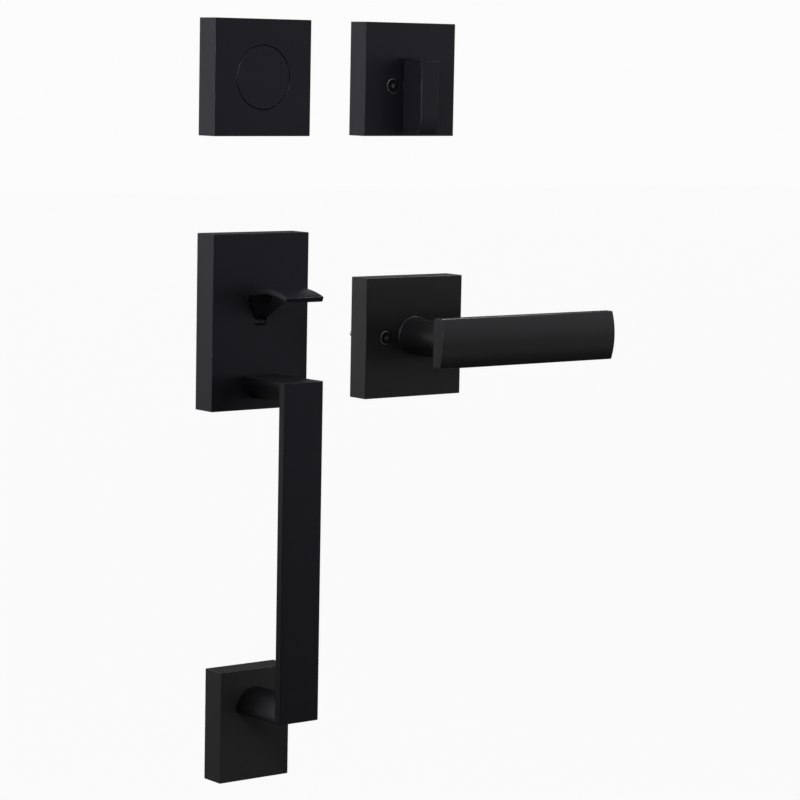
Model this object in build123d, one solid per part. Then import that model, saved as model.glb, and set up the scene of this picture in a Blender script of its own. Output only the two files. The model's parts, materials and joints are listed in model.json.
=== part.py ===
"""Entry door handleset: the two outer trims and the two inner trims of one door, laid out side by side.

Millimetres, +Z up. X runs across the door, +Y points into the door. The backs of all the trims lie on
the plane Y = 0 and their fronts face -Y. The origin is the centre of the latch bore, on the back of
the handle plate. Outer trim on the left: deadbolt rose above, handle plate with thumb piece and grip
below. Inner trim on the right: deadbolt rose with thumb turn above, lever below.
"""
from build123d import *
import math
import os

# Where the trims stand
outer_x = 0.0
deadbolt_z = 139.7
inner_deadbolt_x = 107.0
lever_x = 113.5
lever_z = -13.5

# Roses and plates
rose_side = 66.7
outer_rose_depth = 16.0
inner_rose_depth = 15.0
handle_plate_height = 101.6
handle_plate_depth = 16.5
lever_rose_side = 72.0
lever_rose_depth = 15.0
foot_width = 48.5
foot_height = 65.5
foot_depth = 16.0
side_wall = 2.6
front_wall = 3.0
edge_round = 0.35
hollow_round = 2.0

# How far a cutter runs past the face that it opens, and how far a solid runs into the one it joins
over = 1.0
weld = 0.5

# Steel backplates inside the roses
backplate_thickness = 2.0
backplate_recess = 0.2
backplate_gap = 0.25
land_side = 8.0

# Small screws that hold the backplates
plate_screw_r = 1.5
plate_screw_head_r = 2.8
plate_screw_head_height = 1.4
plate_screw_length = 7.0
plate_screw_inset = 7.0

# Through fixings: threaded posts outside, machine screws inside
post_r = 4.0
post_flange_r = 5.0
post_flange_height = 1.5
deadbolt_post_reach = 21.0
latch_post_reach = 11.0
tap_r = 2.1
tap_start = -2.0
fit_gap = 0.05
deadbolt_screw_spacing = 25.4
deadbolt_axis_drop = 3.7
latch_screw_spacing = 41.3
screw_r = 2.0
screw_neck_r = 1.75
screw_thread_start = 1.0
screw_head_r = 4.4
screw_head_height = 2.2
screw_head_round = 1.0
screw_head_sink = 0.3
screw_recess_gap = 0.35
screw_pillar_wall = 1.6
deadbolt_screw_reach = 22.0
lever_screw_reach = 19.0
cross_width = 1.1
cross_length = 4.6
cross_depth = 1.5

# Blank disc of the outer deadbolt rose
plug_r = 18.2
plug_gap = 0.3
plug_rim = 2.2
plug_depth = 6.5
plug_flange_r = 20.3
plug_flange_height = 2.0
plug_seat_gap = 0.25
plug_seat_wall = 2.4
plug_ring_height = 1.0
plug_ring_inner_r = 18.7
plug_groove_depth = 0.7
ring_gap_angle = 40.0

# Thumb turn of the inner deadbolt rose
turn_width = 13.0
turn_above = 16.6
turn_below = 28.3
turn_stand_off = 1.7
turn_projection = 19.5
turn_top_drop = 1.8
turn_tip_height = 11.0
turn_tip_fall = 2.2
turn_edge = 0.7
turn_hub_r = 5.5
turn_hub_end = -8.6
turn_washer_r = 9.0
turn_washer_height = 0.7
turn_washer_room = 0.5
turn_clip_r = 8.4
clip_height = 0.9
clip_gap = 0.1
turn_groove_r = 4.5
tail_width = 6.4
tail_thickness = 2.4
tail_seat = 5.0
tail_reach = 32.0

# Thumb piece: a curved pad on a web that enters a slot in the handle plate
pad_width = 25.8
pad_thickness = 3.3
pad_arc_r = 58.0
pad_crest_y = -40.0
pad_crest_z = 20.8
pad_tip_y = -60.3
pad_root_y = -28.0
pad_edge = 0.8
web_bottom_z = 1.6
web_straight_z = 3.6
web_top_z = 14.0
web_bottom_half = 3.6
web_top_half = 8.4
web_knee_y = -28.0
web_knee_z = 9.0
web_front_y = -42.0
web_flare_half = 9.6
web_inner_bottom_z = 4.6
web_inner_top_z = 12.0
slot_bottom_z = -2.2
slot_top_z = 15.4
slot_side_gap = 0.35
thumb_drop_at_slot = 2.3
pivot_y = -9.0
pivot_z = 9.0
pivot_barrel_r = 3.6
pivot_barrel_left = 4.0
pivot_pin_r = 1.5
lug_width = 2.5
lug_left_x = -13.5
lug_gap = 0.6
lug_half_height = 4.2
lug_end_y = -5.2
thumb_spring_wire_r = 0.4
thumb_spring_turns = 4
thumb_spring_coil_r = 2.1
thumb_spring_leg = 4.3
thumb_spring_gap = 0.2
thumb_spring_steps = 12
heel_r = 1.7
heel_half = 6.5
heel_z = -0.1
heel_gap = 0.4

# Lifting arm of the thumb piece, and the cam and spindle that it turns
nose_x = 10.0
nose_r = 1.5
nose_root_y = 2.0
nose_tip_y = 11.0
nose_drop = 1.8
cam_hub_r = 6.0
cam_flange_r = 7.9
cam_flange_height = 2.0
cam_gap = 0.2
cam_end_y = 14.5
cam_ear_y = 9.5
cam_ear_reach = 12.5
cam_ear_height = 3.6
cam_groove_r = 5.3
cam_clip_r = 7.8
spindle_side = 7.0
spindle_gap = 0.05
spindle_front_y = -3.5
spindle_reach = 38.0
spindle_chamfer = 0.8
window_gap = 0.9
window_low = 3.4
window_high = 8.6

# Grip: a flat bar with an arm at each end, cast in one piece
grip_width = 27.0
grip_bar_thickness = 5.0
grip_front_y = -60.0
grip_top_rise = 19.8
grip_length = 196.3
grip_arm_r = 13.5
grip_fixing_inset = 6.3
grip_edge = 0.5
grip_screw_spacing = 14.0
grip_screw_r = 2.2
grip_screw_head_r = 4.0
grip_screw_head_height = 2.6
grip_screw_head_round = 1.0
grip_screw_depth = 12.0
foot_drop = 8.8
foot_boss_r = 6.0
foot_boss_end = -1.0
foot_tap_r = 2.5
foot_tap_depth = 22.0

# Lever of the inner trim
lever_length = 134.0
lever_back = 16.5
lever_height = 29.5
blade_back_y = -54.2
blade_edge_y = -61.4
blade_crown = 2.7
blade_corner = 1.8
blade_edge = 0.5
neck_r = 11.0
neck_end = -4.0
bush_wall = 1.2
bush_stand = 1.1
bush_round = 0.5
bush_end = -8.6
neck_groove_r = 9.8
neck_ring_r = 13.4
neck_ring_height = 1.1
hub_r = 7.4
hub_depth = 24.0
hub_front_gap = 1.0
hub_gap = 0.02
hub_end = 5.0
hub_flange_r = 9.5
hub_flange_height = 2.0
hub_lug_r = 14.0
hub_lug_angle = 90.0
hub_lug_half_angle = 12.0
socket_side = 7.2
socket_depth = 20.0
set_screw_r = 2.0
set_screw_y = -24.0
set_screw_sink = 0.6
set_screw_socket_r = 1.0
set_screw_socket_depth = 1.5
lever_swing = 50.0
stop_gap_angle = 2.0
stop_width_angle = 14.0
stop_inner_r = 11.0
lever_spring_wire_r = 0.6
lever_spring_turns = 2
lever_spring_coil_r = 13.6
lever_spring_leg = 5.0
lever_spring_gap = 0.2
lever_spring_steps = 18

# Places worked out from the sizes above
turn_z = deadbolt_z - deadbolt_axis_drop
outer_face_y = -outer_rose_depth
inner_face_y = -inner_rose_depth
handle_face_y = -handle_plate_depth
lever_face_y = -lever_rose_depth
foot_face_y = -foot_depth
backplate_back_y = -backplate_recess
backplate_front_y = backplate_back_y - backplate_thickness
nose_z = -nose_drop
grip_top_z = grip_top_rise - handle_plate_height / 2
grip_bottom_z = grip_top_z - grip_length
foot_z = grip_bottom_z - foot_drop
lower_arm_z = grip_bottom_z + grip_fixing_inset
upper_arm_z = grip_top_z - grip_fixing_inset


def block(x0, x1, y0, y1, z0, z1):
    """A box between two corners."""
    return Pos((x0 + x1) / 2, (y0 + y1) / 2, (z0 + z1) / 2) * Box(abs(x1 - x0), abs(y1 - y0), abs(z1 - z0))


def rod(r, y0, y1, x=0.0, z=0.0):
    """A round bar along Y."""
    return Pos(x, (y0 + y1) / 2, z) * Rot(90, 0, 0) * Cylinder(r, abs(y1 - y0))


def tube(outer_r, inner_r, y0, y1, x=0.0, z=0.0):
    """A round tube along Y."""
    return rod(outer_r, y0, y1, x, z) - rod(inner_r, min(y0, y1) - over, max(y0, y1) + over, x, z)


def cross_bar(r, x0, x1, y, z):
    """A round bar along X."""
    return Pos((x0 + x1) / 2, y, z) * Rot(0, 90, 0) * Cylinder(r, abs(x1 - x0))


def side_prism(points, x0, x1):
    """A solid whose outline is drawn in Y and Z, from x0 to x1."""
    outline = Face(Wire.make_polygon([Vector(x0, y, z) for y, z in points]))
    return Solid(extrude(outline, amount=x1 - x0, dir=(1, 0, 0)).wrapped)


def front_prism(points, y0, y1):
    """A solid whose outline is drawn in X and Z, from y0 to y1."""
    outline = Face(Wire.make_polygon([Vector(x, y0, z) for x, z in points]))
    return Solid(extrude(outline, amount=y1 - y0, dir=(0, 1, 0)).wrapped)


def sector(inner_r, outer_r, y0, y1, middle, half_angle, x=0.0, z=0.0):
    """A piece of a ring about Y; angles turn from +X towards +Z."""
    steps = 6
    angles = [math.radians(middle + half_angle * (2 * i / steps - 1)) for i in range(steps + 1)]
    outer = [(x + outer_r * math.cos(a), z + outer_r * math.sin(a)) for a in angles]
    inner = [(x + inner_r * math.cos(a), z + inner_r * math.sin(a)) for a in reversed(angles)]
    return front_prism(outer + inner, y0, y1)


def split_ring(outer_r, inner_r, y0, y1, x, z, opening):
    """A flat retaining ring with a gap at its lower side."""
    cut = sector(inner_r / 2, outer_r + 2 * over, y0 - over, y1 + over, -90, opening / 2, x, z)
    return tube(outer_r, inner_r, y0, y1, x, z) - cut


def rose_shell(width, height, depth, x, z):
    """A cast cover: flat front, four walls, open back, lands in the corners for its backplate."""
    shell = block(x - width / 2, x + width / 2, -depth, 0, z - height / 2, z + height / 2)
    front = shell.faces().sort_by(Axis.Y)[0]
    shell = fillet(shell.edges().filter_by(Axis.Y) + front.edges(), edge_round)
    inner_w = width / 2 - side_wall
    inner_h = height / 2 - side_wall
    hollow = block(x - inner_w, x + inner_w, front_wall - depth, over, z - inner_h, z + inner_h)
    hollow = fillet(hollow.edges().filter_by(Axis.Y), hollow_round)
    for sx in (-1, 1):
        for sz in (-1, 1):
            corner_x = x + sx * inner_w
            corner_z = z + sz * inner_h
            land = block(corner_x - sx * land_side, corner_x, front_wall - depth - over, backplate_front_y,
                         corner_z - sz * land_side, corner_z)
            hollow -= land
    return shell - hollow


def plate_screw_places(width, height, x, z):
    """Two opposite corners where small screws hold a backplate."""
    dx = width / 2 - plate_screw_inset
    dz = height / 2 - plate_screw_inset
    return [(x - dx, z + dz), (x + dx, z - dz)]


def plate_screw_holes(width, height, x, z):
    """Pilot holes in the lands, as deep as the screws need."""
    end = backplate_back_y - plate_screw_length
    return [rod(plate_screw_r, end, backplate_front_y + over, px, pz)
            for px, pz in plate_screw_places(width, height, x, z)]


def plate_screw_cone(px, pz, grow=0.0):
    """The countersunk head of a small screw, or with grow the seat that it sinks into."""
    taper = plate_screw_head_r - plate_screw_r
    top = backplate_back_y
    head = Cone(plate_screw_r + grow, plate_screw_r + taper + grow, plate_screw_head_height)
    return Pos(px, top - plate_screw_head_height / 2, pz) * Rot(-90, 0, 0) * head


def backplate(width, height, x, z):
    """A flat steel plate that closes the back of a rose, with its two screw seats."""
    half_w = width / 2 - side_wall - backplate_gap
    half_h = height / 2 - side_wall - backplate_gap
    plate = block(x - half_w, x + half_w, backplate_front_y, backplate_back_y, z - half_h, z + half_h)
    plate = fillet(plate.edges().filter_by(Axis.Y), hollow_round)
    for px, pz in plate_screw_places(width, height, x, z):
        plate -= rod(plate_screw_r + fit_gap, backplate_front_y - over, backplate_back_y + over, px, pz)
        plate -= plate_screw_cone(px, pz, fit_gap)
    return plate


def backplate_screws():
    """The small countersunk screws of every backplate."""
    roses = [(rose_side, rose_side, outer_x, deadbolt_z),
             (rose_side, rose_side, inner_deadbolt_x, deadbolt_z),
             (rose_side, handle_plate_height, outer_x, 0.0),
             (foot_width, foot_height, outer_x, foot_z),
             (lever_rose_side, lever_rose_side, lever_x, lever_z)]
    screws = []
    for width, height, x, z in roses:
        for px, pz in plate_screw_places(width, height, x, z):
            shank = rod(plate_screw_r - fit_gap, backplate_back_y - plate_screw_length + fit_gap,
                        backplate_back_y - fit_gap, px, pz)
            screws.append(cross_recess(shank + plate_screw_cone(px, pz), px, pz, backplate_back_y, -1))
    return Compound(screws)


def cross_recess(screw, x, z, face_y, into):
    """Cuts the cross for the driver into a screw's head; into is +1 or -1 along Y."""
    deep = face_y + into * cross_depth
    long = cross_length / 2
    short = cross_width / 2
    screw -= block(x - long, x + long, face_y - into, deep, z - short, z + short)
    screw -= block(x - short, x + short, face_y - into, deep, z - long, z + long)
    return screw


def machine_screw(x, z, face_y, reach):
    """A pan head screw whose head sits just below the face of a rose."""
    top = face_y + screw_head_sink
    head = rod(screw_head_r, top, top + screw_head_height, x, z)
    head = fillet(head.faces().sort_by(Axis.Y)[0].edges(), screw_head_round)
    neck = rod(screw_neck_r, top + screw_head_height, screw_thread_start, x, z)
    thread = rod(screw_r, screw_thread_start, reach, x, z)
    return cross_recess(head + neck + thread, x, z, top, 1)


def screw_seat(x, z, face_y):
    """What a rose loses round one machine screw: a counterbore and a clearance hole."""
    floor = face_y + screw_head_sink + screw_head_height
    return [rod(screw_head_r + screw_recess_gap, face_y - over, floor, x, z),
            rod(screw_r + fit_gap, face_y, over, x, z)]


def screw_pillar(x, z, face_y):
    """A cast pillar behind the front wall that carries a screw to the backplate."""
    return rod(screw_head_r + screw_pillar_wall, face_y + front_wall - weld, backplate_front_y, x, z)


def threaded_post(x, z, reach):
    """An internally threaded post that stands out behind a backplate."""
    flange = rod(post_flange_r, backplate_front_y - post_flange_height, backplate_front_y, x, z)
    body = rod(post_r, backplate_front_y, reach, x, z)
    return flange + body - rod(tap_r, tap_start, reach + over, x, z)


def coil(radius, wire_r, turns, pitch, start, axis, leg, steps):
    """A torsion spring with a straight leg at each end, its turns bent up from short straight lengths."""
    points = []
    for i in range(turns * steps + 1):
        angle = 2 * math.pi * i / steps
        points.append(Vector(radius * math.cos(angle), radius * math.sin(angle), pitch * i / steps))
    points.insert(0, points[0] - Vector(0, leg, 0))
    points.append(points[-1] + Vector(0, leg, 0))
    path = Polyline(*points)
    wire = Plane(origin=path @ 0, z_dir=path % 0) * Circle(wire_r)
    return Plane(origin=start, z_dir=axis) * sweep(wire, path=path, transition=Transition.RIGHT)


# Outer deadbolt trim

def deadbolt_outer_rose():
    """Square cover with a round opening and a seat behind it for the blank disc."""
    face = outer_face_y
    inner = face + front_wall
    rose = rose_shell(rose_side, rose_side, outer_rose_depth, outer_x, deadbolt_z)
    seat_r = plug_flange_r + plug_seat_gap
    groove_start = inner + plug_flange_height
    seat_end = groove_start + plug_ring_height + plug_seat_wall
    rose += tube(seat_r + plug_seat_wall, seat_r, inner - weld, seat_end, outer_x, deadbolt_z)
    groove_r = seat_r + plug_groove_depth
    rose -= rod(groove_r, groove_start, groove_start + plug_ring_height, outer_x, deadbolt_z)
    rose -= rod(plug_r + plug_gap, face - over, inner + over, outer_x, deadbolt_z)
    for hole in plate_screw_holes(rose_side, rose_side, outer_x, deadbolt_z):
        rose -= hole
    return rose


def blank_plug():
    """The round disc that fills the opening, a shallow cup with a flange behind the front wall."""
    face = outer_face_y
    inner = face + front_wall
    plug = rod(plug_r, face, face + plug_depth, outer_x, deadbolt_z)
    plug = fillet(plug.faces().sort_by(Axis.Y)[0].edges(), plug_gap)
    plug += rod(plug_flange_r, inner, inner + plug_flange_height, outer_x, deadbolt_z)
    plug -= rod(plug_r - plug_rim, face + front_wall, 0, outer_x, deadbolt_z)
    return plug


def plug_retaining_ring():
    """The snap ring that keeps the blank disc in its seat."""
    start = outer_face_y + front_wall + plug_flange_height
    outer = plug_flange_r + plug_seat_gap + plug_groove_depth - fit_gap
    return split_ring(outer, plug_ring_inner_r, start, start + plug_ring_height, outer_x, deadbolt_z,
                      ring_gap_angle)


def deadbolt_outer_backplate():
    """Backplate of the outer deadbolt rose, with the holes of its two posts."""
    plate = backplate(rose_side, rose_side, outer_x, deadbolt_z)
    for side in (-1, 1):
        px = outer_x + side * deadbolt_screw_spacing / 2
        plate -= rod(post_r + fit_gap, backplate_front_y - over, over, px, turn_z)
    return plate - rod(turn_hub_r, backplate_front_y - over, over, outer_x, turn_z)


def deadbolt_outer_posts():
    """The two threaded posts that the inner screws pull on."""
    spread = deadbolt_screw_spacing / 2
    return Compound([threaded_post(outer_x + side * spread, turn_z, deadbolt_post_reach) for side in (-1, 1)])


# Inner deadbolt trim

def deadbolt_inner_rose():
    """Square cover with the hole of the thumb turn and two screw seats."""
    rose = rose_shell(rose_side, rose_side, inner_rose_depth, inner_deadbolt_x, deadbolt_z)
    for side in (-1, 1):
        px = inner_deadbolt_x + side * deadbolt_screw_spacing / 2
        rose += screw_pillar(px, turn_z, inner_face_y)
        for cut in screw_seat(px, turn_z, inner_face_y):
            rose -= cut
    inner = inner_face_y + front_wall
    rose -= rod(turn_hub_r + fit_gap, inner_face_y - over, inner + over, inner_deadbolt_x, turn_z)
    rose -= rod(turn_washer_r + turn_washer_room, inner, over, inner_deadbolt_x, turn_z)
    for hole in plate_screw_holes(rose_side, rose_side, inner_deadbolt_x, deadbolt_z):
        rose -= hole
    return rose


def turn_groove_start():
    """Front side of the groove that the clip of the thumb turn sits in."""
    return inner_face_y + front_wall + turn_washer_height + clip_gap


def thumb_turn():
    """The paddle with its round hub, its front curving back towards the rose at the lower end."""
    back = inner_face_y - turn_stand_off
    front = inner_face_y - turn_projection
    top = turn_z + turn_above
    low = turn_z - turn_below
    left = inner_deadbolt_x - turn_width / 2
    outline = Wire([
        Line((left, back, low), (left, back, top)),
        Line((left, back, top), (left, front, top - turn_top_drop)),
        Line((left, front, top - turn_top_drop), (left, front, low + turn_tip_height)),
        ThreePointArc((left, front, low + turn_tip_height),
                      (left, front + turn_tip_fall / 4, low + turn_tip_height / 2),
                      (left, front + turn_tip_fall, low)),
        Line((left, front + turn_tip_fall, low), (left, back, low)),
    ])
    paddle = Solid(extrude(Face(outline), amount=turn_width, dir=(1, 0, 0)).wrapped)
    paddle = fillet(paddle.edges(), turn_edge)
    hub = rod(turn_hub_r, back - weld, turn_hub_end, inner_deadbolt_x, turn_z)
    groove_start = turn_groove_start()
    groove = tube(turn_hub_r + over, turn_groove_r, groove_start, groove_start + clip_height + clip_gap,
                  inner_deadbolt_x, turn_z)
    half_w = tail_width / 2 + fit_gap
    half_t = tail_thickness / 2 + fit_gap
    slot = block(inner_deadbolt_x - half_t, inner_deadbolt_x + half_t, turn_hub_end - tail_seat, 0,
                 turn_z - half_w, turn_z + half_w)
    return paddle + hub - groove - slot


def turn_washer():
    """The friction washer between the rose and the clip."""
    start = inner_face_y + front_wall
    return tube(turn_washer_r, turn_hub_r + fit_gap, start, start + turn_washer_height,
                inner_deadbolt_x, turn_z)


def turn_clip():
    """The clip in the groove of the hub."""
    start = turn_groove_start() + clip_gap / 2
    return split_ring(turn_clip_r, turn_groove_r + fit_gap, start, start + clip_height,
                      inner_deadbolt_x, turn_z, ring_gap_angle)


def turn_tailpiece():
    """The flat blade that carries the turn to the bolt."""
    half_w = tail_width / 2
    half_t = tail_thickness / 2
    blade = block(inner_deadbolt_x - half_t, inner_deadbolt_x + half_t, turn_hub_end - tail_seat, tail_reach,
                  turn_z - half_w, turn_z + half_w)
    return chamfer(blade.faces().sort_by(Axis.Y)[-1].edges().filter_by(Axis.X), tail_thickness / 3)


def deadbolt_inner_backplate():
    """Backplate of the inner deadbolt rose."""
    plate = backplate(rose_side, rose_side, inner_deadbolt_x, deadbolt_z)
    for side in (-1, 1):
        px = inner_deadbolt_x + side * deadbolt_screw_spacing / 2
        plate -= rod(screw_r + fit_gap, backplate_front_y - over, over, px, turn_z)
    return plate - rod(turn_hub_r, backplate_front_y - over, over, inner_deadbolt_x, turn_z)


def deadbolt_screws():
    """The two machine screws of the inner deadbolt rose."""
    return Compound([machine_screw(inner_deadbolt_x + side * deadbolt_screw_spacing / 2, turn_z,
                                   inner_face_y, deadbolt_screw_reach) for side in (-1, 1)])


# Outer handle

def slot_half_width(z):
    """Half the width of the slot at a height, wide enough for the web as it drops."""
    slope = (web_top_half - web_bottom_half) / (web_top_z - web_straight_z)
    reach = max(z + thumb_drop_at_slot - web_straight_z, 0.0)
    return web_bottom_half + slope * reach + slot_side_gap


def lug_right_x():
    """The inner side of the lug beyond the lifting arm."""
    return nose_x + nose_r + lug_gap


def handle_plate():
    """Rectangular cover with the slot of the thumb piece, two pivot lugs and the screw holes of the grip."""
    plate = rose_shell(rose_side, handle_plate_height, handle_plate_depth, outer_x, 0.0)
    low = slot_half_width(slot_bottom_z)
    high = slot_half_width(slot_top_z)
    knee_z = web_straight_z - thumb_drop_at_slot
    plate -= front_prism([(-low, slot_bottom_z), (low, slot_bottom_z), (low, knee_z), (high, slot_top_z),
                          (-high, slot_top_z), (-low, knee_z)],
                         handle_face_y - over, handle_face_y + front_wall + over)
    inner = handle_face_y + front_wall
    for x0 in (lug_left_x, lug_right_x()):
        lug = block(x0, x0 + lug_width, inner - weld, lug_end_y, pivot_z - lug_half_height,
                    pivot_z + lug_half_height)
        plate += lug
    plate -= cross_bar(pivot_pin_r, lug_left_x - over, lug_right_x() + lug_width + over, pivot_y, pivot_z)
    for side in (-1, 1):
        plate -= rod(grip_screw_r + fit_gap, handle_face_y - over, inner + over,
                     side * grip_screw_spacing / 2, upper_arm_z)
    for hole in plate_screw_holes(rose_side, handle_plate_height, outer_x, 0.0):
        plate -= hole
    return plate


def handle_backplate():
    """Backplate of the handle, with the bearing of the cam, the window of the lifting arm and post holes."""
    plate = backplate(rose_side, handle_plate_height, outer_x, 0.0)
    plate -= rod(cam_hub_r + fit_gap, backplate_front_y - over, over)
    plate -= block(nose_x - nose_r - window_gap, nose_x + nose_r + window_gap, backplate_front_y - over, over,
                   -window_low, window_high)
    for side in (-1, 1):
        plate -= rod(post_r + fit_gap, backplate_front_y - over, over, side * latch_screw_spacing / 2, 0.0)
    return plate


def handle_posts():
    """The two threaded posts of the handle plate."""
    spread = latch_screw_spacing / 2
    return Compound([threaded_post(side * spread, 0.0, latch_post_reach) for side in (-1, 1)])


def pad_arc_z(y, depth=0.0):
    """Height of the pad's upper face at y, or of a face that lies depth below it."""
    r = pad_arc_r - depth
    return pad_crest_z - pad_arc_r + math.sqrt(r * r - (y - pad_crest_y) ** 2)


def thumb_pad():
    """The curved pad that the thumb presses."""
    left = -pad_width / 2
    middle = (pad_tip_y + pad_root_y) / 2
    upper = [(left, y, pad_arc_z(y)) for y in (pad_tip_y, middle, pad_root_y)]
    lower = [(left, y, pad_arc_z(y, pad_thickness)) for y in (pad_root_y, middle, pad_tip_y)]
    outline = Wire([ThreePointArc(*upper), Line(upper[2], lower[0]), ThreePointArc(*lower),
                    Line(lower[2], upper[0])])
    pad = Solid(extrude(Face(outline), amount=pad_width, dir=(1, 0, 0)).wrapped)
    return fillet(pad.edges(), pad_edge)


def thumb_web():
    """The web under the pad, narrow where it enters the slot and flared where it meets the pad."""
    half = web_flare_half
    under = pad_arc_z(web_front_y, pad_thickness / 2)
    root = pad_arc_z(pad_root_y, pad_thickness / 2)
    wall = handle_face_y
    outline = Wire([
        Line((-half, pivot_y, web_inner_bottom_z), (-half, wall, web_bottom_z)),
        ThreePointArc((-half, wall, web_bottom_z), (-half, web_knee_y, web_knee_z),
                      (-half, web_front_y, under)),
        Line((-half, web_front_y, under), (-half, pad_root_y, root)),
        Line((-half, pad_root_y, root), (-half, wall, web_top_z)),
        Line((-half, wall, web_top_z), (-half, pivot_y, web_inner_top_z)),
        Line((-half, pivot_y, web_inner_top_z), (-half, pivot_y, web_inner_bottom_z)),
    ])
    side = Solid(extrude(Face(outline), amount=2 * half, dir=(1, 0, 0)).wrapped)
    crest = pad_crest_z
    low = web_bottom_z - over
    front = front_prism([(-web_bottom_half, low), (web_bottom_half, low), (web_bottom_half, web_straight_z),
                         (web_top_half, web_top_z), (half, crest), (-half, crest),
                         (-web_top_half, web_top_z), (-web_bottom_half, web_straight_z)],
                        web_front_y - over, handle_face_y + front_wall)
    inner = block(-web_bottom_half, web_bottom_half, handle_face_y + front_wall - weld, pivot_y, low, crest)
    return side & (front + inner)


def thumb_heel():
    """The round bar under the web that rests against the inside of the plate when the pad is up."""
    front = handle_face_y + front_wall + heel_gap
    bar = cross_bar(heel_r, -heel_half, heel_half, front + heel_r, heel_z)
    neck = block(-pivot_barrel_left, pivot_barrel_left, front + heel_r / 2, front + 2 * heel_r, heel_z,
                 web_inner_bottom_z)
    return bar + neck


def lifting_arm():
    """The arm that reaches back through the backplate and ends in a round nose."""
    x0 = nose_x - nose_r
    x1 = nose_x + nose_r
    top_r = pivot_barrel_r
    slope = math.atan2(nose_root_y - pivot_y, pivot_z - nose_z)
    side_y = math.cos(slope)
    side_z = math.sin(slope)
    points = [(pivot_y - top_r * side_y, pivot_z - top_r * side_z),
              (nose_root_y - nose_r * side_y, nose_z - nose_r * side_z),
              (nose_root_y + nose_r * side_y, nose_z + nose_r * side_z),
              (pivot_y + top_r * side_y, pivot_z + top_r * side_z)]
    arm = side_prism(points, x0, x1)
    arm += rod(nose_r, nose_root_y - weld, nose_tip_y, nose_x, nose_z)
    arm += Pos(nose_x, nose_root_y - weld, nose_z) * Sphere(nose_r)
    return arm + Pos(nose_x, nose_tip_y, nose_z) * Sphere(nose_r)


def thumb_piece():
    """Pad, web, heel, pivot barrel and lifting arm, cast in one piece."""
    piece = thumb_pad() + thumb_web() + thumb_heel()
    piece += cross_bar(pivot_barrel_r, -pivot_barrel_left, nose_x + nose_r, pivot_y, pivot_z)
    piece += lifting_arm()
    return piece - cross_bar(pivot_pin_r + fit_gap, -pad_width, pad_width, pivot_y, pivot_z)


def thumb_pivot_pin():
    """The pin that the thumb piece swings on."""
    return cross_bar(pivot_pin_r, lug_left_x, lug_right_x() + lug_width, pivot_y, pivot_z)


def thumb_spring():
    """The torsion spring that lifts the pad again."""
    start_x = lug_left_x + lug_width + thumb_spring_wire_r + thumb_spring_gap
    room = -pivot_barrel_left - start_x - thumb_spring_wire_r - thumb_spring_gap
    pitch = room / thumb_spring_turns
    return coil(thumb_spring_coil_r, thumb_spring_wire_r, thumb_spring_turns, pitch,
                (start_x, pivot_y, pivot_z), (1, 0, 0), thumb_spring_leg, thumb_spring_steps)


def lift_cam():
    """The hub with an ear that the lifting arm raises, and a square hole for the spindle."""
    flange_start = backplate_front_y - cam_gap - cam_flange_height
    cam = rod(cam_hub_r, flange_start, cam_end_y)
    cam += rod(cam_flange_r, flange_start, backplate_front_y - cam_gap)
    ear = block(0, cam_ear_reach, cam_ear_y, cam_end_y, 0, cam_ear_height)
    cam += fillet(ear.edges().filter_by(Axis.Y).sort_by(Axis.X)[-1:], cam_ear_height / 2)
    groove_start = cam_clip_start()
    cam -= tube(cam_hub_r + over, cam_groove_r, groove_start - clip_gap / 2,
                groove_start + clip_height + clip_gap / 2)
    half = spindle_side / 2 + spindle_gap
    return cam - block(-half, half, spindle_front_y, cam_end_y + over, -half, half)


def cam_clip_start():
    """Front side of the clip behind the handle's backplate."""
    return backplate_back_y + cam_gap


def cam_clip():
    """The clip that holds the cam in the backplate."""
    start = cam_clip_start()
    return split_ring(cam_clip_r, cam_groove_r + fit_gap, start, start + clip_height, 0.0, 0.0,
                      ring_gap_angle)


def latch_spindle():
    """The square bar that turns the latch."""
    half = spindle_side / 2
    bar = block(-half, half, spindle_front_y, spindle_reach, -half, half)
    return chamfer(bar.faces().sort_by(Axis.Y)[-1].edges(), spindle_chamfer)


def grip_arm(z_outer, inward, end_y):
    """One arm, half round: flat on its outer side and round on its inner side."""
    start = grip_front_y + grip_bar_thickness / 2
    half = block(-grip_arm_r, grip_arm_r, start, end_y, z_outer, z_outer + inward * grip_arm_r)
    return half & rod(grip_arm_r, start, end_y, 0.0, z_outer)


def grip():
    """The bar and its two arms, with the boss that passes through the foot rose."""
    bar = block(-grip_width / 2, grip_width / 2, grip_front_y, grip_front_y + grip_bar_thickness,
                grip_bottom_z, grip_top_z)
    body = bar + grip_arm(grip_top_z, -1, handle_face_y) + grip_arm(grip_bottom_z, 1, foot_face_y)
    front = body.faces().sort_by(Axis.Y)[0]
    body = fillet(front.edges(), grip_edge)
    body += rod(foot_boss_r, foot_face_y - weld, foot_boss_end, 0.0, lower_arm_z)
    body -= rod(foot_tap_r, foot_boss_end - foot_tap_depth, over, 0.0, lower_arm_z)
    for side in (-1, 1):
        body -= rod(grip_screw_r, handle_face_y - grip_screw_depth, handle_face_y + over,
                    side * grip_screw_spacing / 2, upper_arm_z)
    return body


def grip_screws():
    """The two screws that pull the upper arm against the handle plate, from inside."""
    seat = handle_face_y + front_wall
    screws = []
    for side in (-1, 1):
        x = side * grip_screw_spacing / 2
        head = rod(grip_screw_head_r, seat, seat + grip_screw_head_height, x, upper_arm_z)
        head = fillet(head.faces().sort_by(Axis.Y)[-1].edges(), grip_screw_head_round)
        shank = rod(grip_screw_r - fit_gap, handle_face_y - grip_screw_depth + fit_gap, seat + weld,
                    x, upper_arm_z)
        screws.append(cross_recess(head + shank, x, upper_arm_z, seat + grip_screw_head_height, -1))
    return Compound(screws)


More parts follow.
